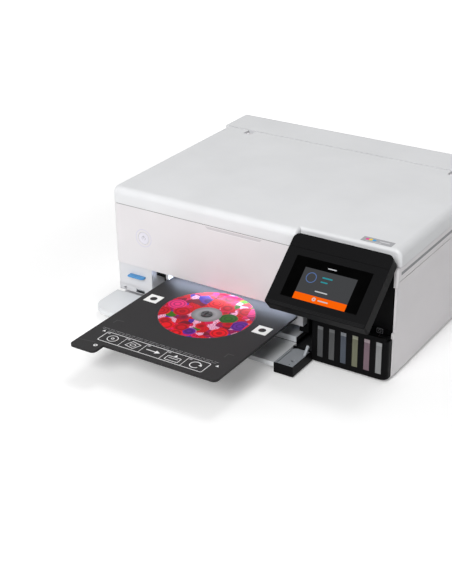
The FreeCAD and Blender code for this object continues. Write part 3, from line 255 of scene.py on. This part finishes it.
def lit(name, rgb, strength):
    """A pixel colour of the screen: it glows under black glass, with a faint fine grid."""
    mat, tree, shader = material(name)
    grid = mottle(tree, noise(tree, scale=4000, detail=1), rgb, dark=0.94, light=1.06)
    feed(tree, shader.inputs["Emission Color"], grid)
    put(shader, Emission_Strength=strength, Base_Color=BLACK_RGBA, Roughness=0.4,
        Specular_IOR_Level=0.01)
    return mat


def glass_material():
    mat, tree, shader = material("scan_glass")
    tint = wander(tree, 30, (0.80, 0.88, 0.86, 1), (0.86, 0.92, 0.9, 1))
    feed(tree, shader.inputs["Base Color"], tint)
    put(shader, Roughness=0.03, IOR=1.5, Transmission_Weight=0.85)
    return mat


def screen_material():
    mat, tree, shader = material("screen_glass")
    tint = wander(tree, 60, BLACK_RGBA, (0.001, 0.001, 0.001, 1))
    feed(tree, shader.inputs["Base Color"], tint)
    put(shader, Roughness=0.4, Specular_IOR_Level=0.01)
    return mat


def lamp_material():
    mat, tree, shader = material("lamp_lens")
    tint = wander(tree, 300, (0.66, 0.76, 1.0, 1), (0.78, 0.86, 1.0, 1))
    feed(tree, shader.inputs["Emission Color"], tint)
    feed(tree, shader.inputs["Base Color"], tint)
    put(shader, Emission_Strength=32.0, Roughness=0.3)
    return mat


# The colours of the large and the small blossoms: each goes from its share of the cells on.
LARGE_PETALS = [(0.0, (196, 0, 24)), (0.28, (226, 6, 22)), (0.48, (226, 44, 120)),
                (0.60, (138, 0, 50)), (0.74, (232, 128, 182)), (0.82, (92, 28, 142)),
                (0.91, (34, 92, 10))]
SMALL_PETALS = [(0.0, (222, 20, 84)), (0.3, (210, 2, 14)), (0.52, (120, 0, 30)),
                (0.62, (236, 170, 200)), (0.72, (150, 6, 80)), (0.84, (56, 112, 12)),
                (0.94, (78, 40, 170))]
HUB_GREYS = [(0.0, (104, 102, 104)), (0.2, (150, 150, 152)), (0.3, (122, 120, 122)),
             (0.9, (60, 60, 62))]
PRINT_FROM, PRINT_TO = 0.313, 0.983     # shares of the disc's radius
RING_RATE, RING_DEPTH, RING_SHADE = 34.0, 0.75, (0.32, 0.24, 0.34, 1)


def disc_material():
    """A printed disc: overlapping round petals in reds, pinks and greens, and a grey hub ring."""
    mat, tree, shader = material("disc_print")
    centre = tuple(at(DISC_X, DISC_Y, TRAY_TOP))
    level = vectors(tree, "MULTIPLY", vectors(tree, "SUBTRACT", object_place(tree), centre),
                    (1, 1, 0))

    def blossoms(scale, colours, shift):
        """Round cells with rings, and how far each point is from its cell's middle."""
        cells = add(tree, "ShaderNodeTexVoronoi", Scale=scale, Randomness=0.9)
        feed(tree, cells.inputs["Vector"], vectors(tree, "ADD", level, shift))
        split = add(tree, "ShaderNodeSeparateColor")
        feed(tree, split.inputs["Color"], cells.outputs["Color"])
        petals = ramp(tree, split.outputs["Red"], stops_of(colours), "CONSTANT")
        far = cells.outputs["Distance"]
        wave = maths(tree, "SINE", maths(tree, "MULTIPLY", far, RING_RATE))
        rings = ramp(tree, wave, [(0.0, WHITE_RGBA), (1.0, RING_SHADE)])
        return mix(tree, RING_DEPTH, petals, rings, "MULTIPLY"), far

    large, large_far = blossoms(44.0, LARGE_PETALS, (0.013, 0.021, 0))
    small, _ = blossoms(105.0, SMALL_PETALS, (0.31, 0.17, 0))
    gaps = ramp(tree, large_far, [(0.0, BLACK_RGBA), (0.50, BLACK_RGBA), (0.56, WHITE_RGBA)])
    art = mix(tree, gaps, large, small)
    share = maths(tree, "MULTIPLY", vectors(tree, "LENGTH", level), 1 / (DISC_RADIUS * MM))
    bare = ramp(tree, share, [(0.0, WHITE_RGBA), (PRINT_FROM, BLACK_RGBA),
                              (PRINT_TO, WHITE_RGBA)], "CONSTANT")
    whole = mix(tree, bare, art, ramp(tree, share, stops_of(HUB_GREYS)))
    feed(tree, shader.inputs["Base Color"], whole)
    put(shader, Roughness=0.45, Specular_IOR_Level=0.1)
    return mat


# The inks from left to right, each below its level and in the hazy window above it.
INKS = [((76, 77, 79), (108, 109, 111)), ((74, 75, 76), (104, 105, 106)),
        ((62, 70, 82), (130, 134, 140)), ((102, 103, 82), (142, 144, 124)),
        ((112, 90, 100), (160, 144, 150)), ((132, 133, 134), (152, 153, 154))]


def ink_material():
    """Six inks seen through hazy windows, each with its level a little below the top."""
    mat, tree, shader = material("inks")
    axes = place_axes(tree)
    across = rescale(tree, axes["X"], (at(INKS_LEFT, 0, 0).x, at(INKS_RIGHT, 0, 0).x))
    below, above = [
        ramp(tree, across, [(i / len(INKS), linear(*ink[k])) for i, ink in enumerate(INKS)],
             "CONSTANT") for k in (0, 1)]
    height = rescale(tree, axes["Z"], (INK_LEVEL_FROM * MM, INK_LEVEL_TO * MM))
    haze = ramp(tree, noise(tree, scale=1800, detail=3),
                [(0.3, (0.86, 0.86, 0.86, 1)), (0.7, WHITE_RGBA)])
    hazy = mix(tree, 1.0, mix(tree, height, below, above), haze, "MULTIPLY")
    cap = maths(tree, "GREATER_THAN", axes["Z"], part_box("ink_tanks")[1][2] - INK_CAP * MM)
    feed(tree, shader.inputs["Base Color"], mix(tree, cap, hazy, linear(16, 16, 17)))
    put(shader, Roughness=0.4)
    return mat


# ---------------------------------------------------------------- looks of the CAD parts
BLACK = plastic("black_satin", (14, 14, 15), rough=0.45, grain=0.35, scale=2200, spread=0.05,
                specular=0.06)
TANK = plastic("tank_black", (14, 14, 15), rough=0.4, grain=0.15, scale=2200, edge=0.8,
               specular=0.04)
LOOKS = {
    "lid_plastic": plastic("lid_white", (224, 225, 227), rough=0.4, grain=0.12, coat=0.06),
    "case_plastic": plastic("case_white", (225, 222, 224), rough=0.42, grain=0.2),
    "cover_plastic": plastic("flap_white", (225, 227, 229), rough=0.4, grain=0.15),
    "tray_plastic": plastic("tray_grey", (47, 46, 47), rough=0.5, grain=0.4, scale=2200,
                            spread=0.04, specular=0.08),
    "black_plastic": BLACK,
    "gloss_black": plastic("panel_black", (17, 17, 18), rough=0.5, grain=0.2, scale=2200,
                           edge=0.8, specular=0.04),
    "chassis_plastic": plastic("chassis_black", (38, 38, 40), rough=0.55, grain=0.5, scale=1200,
                               spread=0.05),
    "output_plastic": plastic("output_grey", (214, 217, 221), rough=0.42, grain=0.4, scale=1800),
    "white_plastic": plastic("white_parts", (236, 236, 234), rough=0.4, grain=0.2),
    "button_plastic": plastic("button_lilac", (226, 224, 233), rough=0.35, grain=0.1),
    "hub_plastic": plastic("hub_grey", (52, 52, 54), rough=0.35, grain=0.3),
    "circuit": plastic("board_green", (38, 92, 60), rough=0.4, grain=0.3, scale=700, spread=0.2),
    "card_plastic": plastic("card_blue", (72, 146, 204), rough=0.38, grain=0.3, scale=1800,
                            spread=0.05, edge=0.3),
    "foam": rubber("foam_white", (238, 238, 236)),
    "rubber": rubber("black_rubber", (36, 36, 37)),
    "pale_rubber": rubber("roller_rubber", (104, 108, 112)),
    "steel": metal("brushed_steel", (196, 198, 201)),
    "brass": metal("turned_brass", (205, 176, 112), rough=0.3),
    "screen_glass": screen_material(),
    "scan_glass": glass_material(),
    "lamp_lens": lamp_material(),
    "disc_face": disc_material(),
    "ink": ink_material(),
}
# Parts whose look isn't their slot's.
ONE_OFF = {
    "tank_housing": TANK,
    "icon_plate": TANK,
    # mid grey: partly the liner's own light grey, partly painted shade of its recess
    "cover_end_liner": plastic("liner_grey_shaded", (160, 164, 169), rough=0.42, grain=0.4, scale=1800),
    "entry_guides": plastic("guide_grey", (184, 184, 188), rough=0.45, grain=0.3),
    "card_block": two_tone("card_block_white", (216, 216, 219), (58, 58, 60), over_x=61.6),
    "base_chassis": two_tone("chassis_two_tone", (212, 212, 215), (38, 38, 40), over_x=62),
}
for entry in frame["record"]["subparts"]:
    look = ONE_OFF.get(entry["node"], LOOKS[entry["material_slot"]])
    slots = nodes[entry["node"]].data.materials
    slots.clear()
    slots.append(look)


# ---------------------------------------------------------------- tools for the prints
PRINT_LIFT = 0.06                       # of a print over its surface
LAYER_STEP, LAYERS = 0.002, 7           # keep crossing shapes of one print apart


def new_object(name, data):
    obj = bpy.data.objects.new(name, data)
    bpy.context.scene.collection.objects.link(obj)
    return obj


def piece(name, verts, faces, look, body):
    mesh = bpy.data.meshes.new(name)
    mesh.from_pydata([tuple(v) for v in verts], [], faces)
    mesh.validate()
    obj = new_object(name, mesh)
    mesh.materials.append(look)
    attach(obj, body)


def flat(name, shapes, surface, look, body, lift=PRINT_LIFT):
    """A thin print: every shape is a filled outline laid on a surface of the object."""
    verts, faces = [], []
    for k, shape in enumerate(shapes):
        start = len(verts)
        verts += [surface(u, v, lift + LAYER_STEP * (k % LAYERS)) for u, v in shape]
        faces.append(list(range(start, len(verts))))
    piece(name, verts, faces, look, body)


def ring(name, x, y, outer, inner, steps, surface, look, body, lift=PRINT_LIFT):
    """A flat ring between two radii."""
    verts = [surface(u, v, lift) for r in (outer, inner) for u, v in circle(x, y, r, steps)]
    faces = [[i, (i + 1) % steps, steps + (i + 1) % steps, steps + i] for i in range(steps)]
    piece(name, verts, faces, look, body)


# Each surface takes a place on it in millimetres and a height over it.
def on_front(u, v, lift):
    return at(u, -lift, v)


def on_lid(u, v, lift):
    return at(u, v, LID_TOP + lift)


def on_tray(u, v, lift):
    return at(u, v, TRAY_TOP + lift)


def on_plate(u, v, lift):
    return at(u, PLATE_Y - lift, v)


def on_side(u, v, lift):
    return at(CASE_WIDTH + lift, u, v)


def on_cover_pad(u, v, lift):
    return at(u, v, COVER_PAD_TOP + lift)


def on_panel(u, v, lift):
    """u to the right of the panel's left edge, v down its face."""
    y = PANEL_EDGE_Y - math.sin(PANEL_TILT) * v - math.cos(PANEL_TILT) * lift
    z = LID_TOP - math.cos(PANEL_TILT) * v + math.sin(PANEL_TILT) * lift
    return at(PANEL_LEFT + u, y, z)


def arc(x, y, r, steps, start=0, end=360, squash=1.0):
    return [(x + r * math.cos(math.radians(start + (end - start) * i / steps)),
             y + squash * r * math.sin(math.radians(start + (end - start) * i / steps)))
            for i in range(steps + 1)]


def circle(x, y, r, steps):
    return arc(x, y, r, steps)[:-1]


def rounded(x0, x1, y0, y1, r, steps=6):
    """A rectangle with rounded corners."""
    corners = ((x1 - r, y1 - r, 0), (x0 + r, y1 - r, 90), (x0 + r, y0 + r, 180),
               (x1 - r, y0 + r, 270))
    return [p for x, y, turn in corners for p in arc(x, y, r, steps, turn, turn + 90)]


def stroke(points, width, closed=False):
    """Flat bars along a line, each with half its width past its ends so that corners close."""
    bars = []
    h = width / 2
    for (x0, y0), (x1, y1) in zip(points, points[1:] + (points[:1] if closed else [])):
        length = math.hypot(x1 - x0, y1 - y0)
        ux, uy = (x1 - x0) / length, (y1 - y0) / length
        bars.append([(x0 - ux * h - uy * h, y0 - uy * h + ux * h),
                     (x0 - ux * h + uy * h, y0 - uy * h - ux * h),
                     (x1 + ux * h + uy * h, y1 + uy * h - ux * h),
                     (x1 + ux * h - uy * h, y1 + uy * h + ux * h)])
    return bars


# ---------------------------------------------------------------- prints on the front
ring("power_ring", POWER_X, POWER_Z, 12.3, 11.3, 48, on_front,
     printed("ring_lilac", (214, 212, 228), rough=0.35), "scanner_unit")
flat("power_glyph", stroke(arc(POWER_X, POWER_Z, 2.6, 20, -50, 230), 0.45)
     + stroke([(POWER_X, 100.2), (POWER_X, 103.6)], 0.45), on_front,
     printed("print_grey", (150, 150, 156)), "power_button")

# flat stand-ins: painted shade for a shallow grip under the lid, a painted highlight along its
# lower edge and a strip of painted shade in the lid's seam
flat("grip_painted_shade", [[(144.6, 138.9), (226.4, 138.9), (222.4, 135.4), (148.6, 135.4)]],
     on_front, printed("grip_shade", (206, 203, 206)), "scanner_unit", lift=0.03)
flat("grip_edge_painted_highlight", stroke([(148.6, 135.2), (222.4, 135.2)], 0.7), on_front,
     printed("grip_painted_highlight", (240, 239, 241)), "scanner_unit")
flat("lid_seam", [[(9, 140.42), (271.8, 140.42), (271.8, 140.94), (9, 140.94)]], on_front,
     printed("seam_shade", (58, 58, 60)), "scanner_unit", lift=0.01)

# ---------------------------------------------------------------- label on the lid
LABEL_INK_LIFT = 0.09
flat("lid_label", [rounded(348.2, 387.6, 15.8, 28.2, 0.8)], on_lid,
     printed("label_grey", (160, 160, 164), rough=0.4), "document_lid")
for k, rgb in enumerate(((228, 40, 140), (246, 214, 60), (40, 160, 220))):
    flat(f"label_dot_{k + 1}", [circle(354.6 + 4.3 * k, 22.6, 2.4, 20)], on_lid,
         printed(f"label_ink_{k + 1}", rgb), "document_lid", LABEL_INK_LIFT + 0.01 * k)
flat("label_bars", [rounded(370, 383, 21.6, 23.6, 0.6), rounded(354, 374, 17.6, 18.6, 0.4)],
     on_lid, printed("label_pale", (214, 214, 217)), "document_lid", LABEL_INK_LIFT)

# ---------------------------------------------------------------- prints on the disc tray
INK = printed("tray_print", (236, 236, 237))
SOFT = printed("tray_print_grey", (150, 150, 152))
FAINT = printed("tray_engraving", (12, 12, 13))
FRAME_LEFT, FRAME_RIGHT, CELL_WIDTH, CELLS = 104, 250, 29.2, 5
edges = [FRAME_LEFT + CELL_WIDTH * i for i in range(CELLS + 1)]
line = 0.9

# a framed row of five cells, with a small arrowhead at each side of it
lines = stroke(rounded(FRAME_LEFT, FRAME_RIGHT, -169.5, -148, 2.2), line, True)
for x in edges[1:-1]:
    lines += stroke([(x, -168.5), (x, -149)], 0.7)
for x in (98.5, 258.5):
    lines.append([(x - 2.2, -150), (x + 2.2, -150), (x, -146.2)])
flat("tray_lines", lines, on_tray, INK, "disc_tray")

# what each cell shows, from left to right, named by the cell's middle
disc, sheet, arrow, drawer, turn = [(a + b) / 2 for a, b in zip(edges, edges[1:])]
row = -158.8
pictures = stroke(arc(disc, row, 6.6, 28), line) + stroke(arc(disc, row, 1.6, 14), line)
pictures += stroke([(sheet - 8, -163), (sheet + 5, -166), (sheet + 9, -155), (sheet - 4, -152)],
                   line, True)
pictures += stroke(arc(sheet + 0.5, -159, 3.6, 20, squash=0.7), 0.8)
pictures += stroke([(arrow - 9, row), (arrow + 4, row)], 1.4)
pictures.append([(arrow + 3, -162.4), (arrow + 9.6, row), (arrow + 3, -155.2)])
pictures += stroke(rounded(drawer - 9, drawer + 9, -166, -157, 1.2), line, True)
pictures += stroke([(drawer - 6, -160.5), (drawer + 6, -160.5)], line)
pictures.append([(drawer - 2.4, -156), (drawer + 2.4, -156), (drawer, -151.5)])
pictures += stroke(arc(turn, -159, 6.4, 24, 20, 320), 1.1)
pictures.append([(turn + 3.6, -158.6), (turn + 8.4, -159.4), (turn + 6.6, -154.6)])
flat("tray_pictures", pictures, on_tray, INK, "disc_tray")

# a small block in the corner of each cell, and two rows of dashes behind the frame
DASHES_END, DASH_GAP = 264, 2.4
marks = [rounded(x + 1.6, x + 5.2, -152.2, -149.2, 0.5) for x in edges[:-1]]
for y, x, dashes in ((-141.6, 92, (9, 5, 12, 7, 4)), (-144.4, 93, (6, 11, 4, 8))):
    for dash in cycle(dashes):
        if x >= DASHES_END - dash:
            break
        marks += stroke([(x, y), (x + dash, y)], 0.5)
        x = x + dash + DASH_GAP
flat("tray_numbers", marks, on_tray, SOFT, "disc_tray")

engraved = stroke([(94.9, -126.4), (95.5, -119.2), (103.7, -118.1)], 1.4)
engraved += stroke([(253.9, -126.8), (254, -118.6), (260.7, -118.6)], 1.4)
engraved += stroke([(84.8, -179.4), (106, -176)], 1.2)
flat("tray_engraving", engraved, on_tray, FAINT, "disc_tray")
ring("tab_mark", 111, -181.7, 2.6, 1.2, 24, on_tray, INK, "disc_tray")
for k, x in enumerate((99.4, 257.4)):
    ring(f"mark_ring_{k + 1}", x, -50.2, 4.7, 3.5, 28, on_tray, FAINT, "disc_tray",
         lift=0.02)

# ---------------------------------------------------------------- the screen's picture
# Each layer of the picture lies a little over the one before it.
CARD_LIFT, BAR_LIFT, SHAPE_LIFT, TOP_LIFT = 0.05, 0.08, 0.1, 0.12
UI_WHITE = lit("ui_white", (206, 207, 210), strength=0.9)
flat("ui_card", [rounded(31, 97.6, 39, 70.8, 0.3)], on_panel,
     lit("ui_card", (66, 67, 69), strength=1.0), "control_panel", CARD_LIFT)
flat("ui_bar", [rounded(31, 97.6, 70.8, 79.5, 0.3)], on_panel,
     lit("ui_orange", (250, 98, 4), strength=1.0), "control_panel", BAR_LIFT)
ring("ui_ring", 43.0, 50.2, 6.6, 5.6, 40, on_panel,
     lit("ui_ring", (92, 118, 170), strength=0.9), "control_panel", SHAPE_LIFT)
flat("ui_teal", [rounded(56, 69, 46, 47.8, 0.8), rounded(56, 65, 51.6, 53.2, 0.8)], on_panel,
     lit("ui_teal", (46, 150, 160), strength=0.9), "control_panel", SHAPE_LIFT)
flat("ui_white", [rounded(54, 70, 64.2, 65.6, 0.7), rounded(58, 69, 34, 35.3, 0.6),
                  rounded(62, 75, 74.4, 75.8, 0.7)], on_panel, UI_WHITE, "control_panel",
     TOP_LIFT)
ring("ui_knob", 57, 74.8, 2.3, 1.0, 24, on_panel, UI_WHITE, "control_panel", TOP_LIFT)

# three lighter strips along the panel's lower edge: painted highlights standing for its ridges
RIDGE_PITCH = 1.5
flat("panel_ridge_highlights", [rounded(1.5, 126.6, 88.6 + RIDGE_PITCH * i, 89.0 + RIDGE_PITCH * i, 0.15, 2)
                      for i in range(3)], on_panel,
     plastic("ridge_highlight_black", (34, 34, 35), rough=0.4, grain=0.1, specular=0.1), "control_panel",
     lift=0.04)

# ---------------------------------------------------------------- plate, side and cover
# an icon beside the tanks, a flat strip of painted shade for the recess along the scanner unit's
# right side, and black discs of painted shade for the screw recess and small hole in the front
# cover's pad
flat("plate_icon", stroke(rounded(380, 387.5, 55.6, 61.6, 0.9), 0.4, True)
     + stroke(arc(383.7, 58.6, 1.7, 16), 0.4), on_plate,
     printed("icon_grey", (190, 190, 194)), "scanner_unit")
flat("side_recess_painted_shade", [rounded(14, 262, 131, 135, 0.6)], on_side,
     plastic("recess_shade_grey", (138, 139, 142), rough=0.5, grain=0.3), "scanner_unit", lift=0.02)
# black discs of painted shade: one 0.6 mm down in the screw recess, one on the pad for the small
# hole
flat("screw_recess_painted_shade", [circle(292.6, -43, 2.1, 24)], on_cover_pad, BLACK, "front_cover",
     lift=-0.6)
flat("pad_hole_painted_shade", [circle(295.2, -51, 0.8, 20)], on_cover_pad, BLACK, "front_cover")


# ---------------------------------------------------------------- stage
# In metres: how far out the floor reaches, and where its glow fades in around the object.
FLOOR_REACH, GLOW_FROM, GLOW_TO, GLOW_LEAST = 6, 0.3, 1.1, 0.2
ROOM_LIGHT = 0.32


def seen(tree):
    """1 for the rays that show the backdrop: the camera's, glossy and transmitted ones."""
    path = add(tree, "ShaderNodeLightPath")
    shown = path.outputs["Is Camera Ray"]
    for kind in ("Is Glossy Ray", "Is Transmission Ray"):
        shown = maths(tree, "MAXIMUM", shown, path.outputs[kind])
    return shown


def by_ray(tree, hidden, shown):
    """The shown shader for the rays that show the backdrop and the hidden one for the rest."""
    pick = add(tree, "ShaderNodeMixShader")
    for socket, source in zip(pick.inputs, (seen(tree), hidden.outputs[0], shown.outputs[0])):
        feed(tree, socket, source)
    return pick.outputs[0]


floor_mesh = bpy.data.meshes.new("floor")
floor_mesh.from_pydata([(x * FLOOR_REACH, y * FLOOR_REACH, 0) for x, y in
                        ((-1, -1), (1, -1), (1, 1), (-1, 1))], [], [[0, 1, 2, 3]])
floor = new_object("floor", floor_mesh)
mat, tree, shader = material("floor_white")
tree.nodes.remove(shader)
away = vectors(tree, "LENGTH", add(tree, "ShaderNodeNewGeometry").outputs["Position"])
glow = add(tree, "ShaderNodeEmission", Color=WHITE_RGBA)
feed(tree, glow.inputs["Strength"],
     rescale(tree, away, (GLOW_FROM, GLOW_TO), (GLOW_LEAST, 1.0),
             interpolation_type="SMOOTHSTEP"))
dark = add(tree, "ShaderNodeEmission", Color=BLACK_RGBA, Strength=0.0)
diffuse = add(tree, "ShaderNodeBsdfDiffuse", Color=(0.9, 0.9, 0.9, 1))
total = add(tree, "ShaderNodeAddShader")
feed(tree, total.inputs[0], diffuse.outputs[0])
feed(tree, total.inputs[1], by_ray(tree, dark, glow))
feed(tree, tree.nodes["Material Output"].inputs["Surface"], total.outputs[0])
floor_mesh.materials.append(mat)

world = bpy.data.worlds.new("studio")
bpy.context.scene.world = world
world.use_nodes = True
tree = world.node_tree
plain = tree.nodes["Background"]
put(plain, Color=WHITE_RGBA, Strength=ROOM_LIGHT)
bright = add(tree, "ShaderNodeBackground", Color=WHITE_RGBA, Strength=1.0)
feed(tree, tree.nodes["World Output"].inputs["Surface"], by_ray(tree, plain, bright))

# Round soft lamps: where each stands, what it points at, its width in metres and its watts.
LAMPS = {"key": ((0.3, -1.9, 1.5), (0, 0, 0.08), 1.0, 37),
         "top": ((0.15, 0.25, 2.3), (0, 0, 0.1), 0.8, 8),
         "side": ((-1.9, -0.9, 0.9), (0, 0, 0.1), 1.2, 5)}
for name, (place, target, size, power) in LAMPS.items():
    data = bpy.data.lights.new(name, "AREA")
    data.shape, data.size, data.energy = "DISK", size, power
    lamp = new_object(name, data)
    lamp.location = place
    lamp.rotation_mode = "QUATERNION"
    lamp.rotation_quaternion = (Vector(target) - Vector(place)).to_track_quat("-Z", "Y")

# ---------------------------------------------------------------- camera
# Fitted to the photo: where it stands in metres, and which way its picture's axes go.
CAMERA_PLACE = (0.72961, -1.22494, 0.75179)
RIGHT = (0.84002, 0.54238, -0.01343)
DOWN = (0.23392, -0.3844, -0.89304)
AHEAD = (-0.48953, 0.74703, -0.44978)
LENS, SENSOR_WIDTH = 76.75, 36
camera_data = bpy.data.cameras.new("camera")
camera = new_object("camera", camera_data)
camera_data.sensor_fit = "AUTO"
camera_data.sensor_width = SENSOR_WIDTH
camera_data.lens = LENS
camera_data.clip_start, camera_data.clip_end = 0.01, 50
camera.matrix_world = Matrix(
    [(r, -d, -a, p) for r, d, a, p in zip(RIGHT, DOWN, AHEAD, CAMERA_PLACE)] + [(0, 0, 0, 1)])
bpy.context.scene.camera = camera
bpy.context.scene.view_settings.view_transform = "Standard"
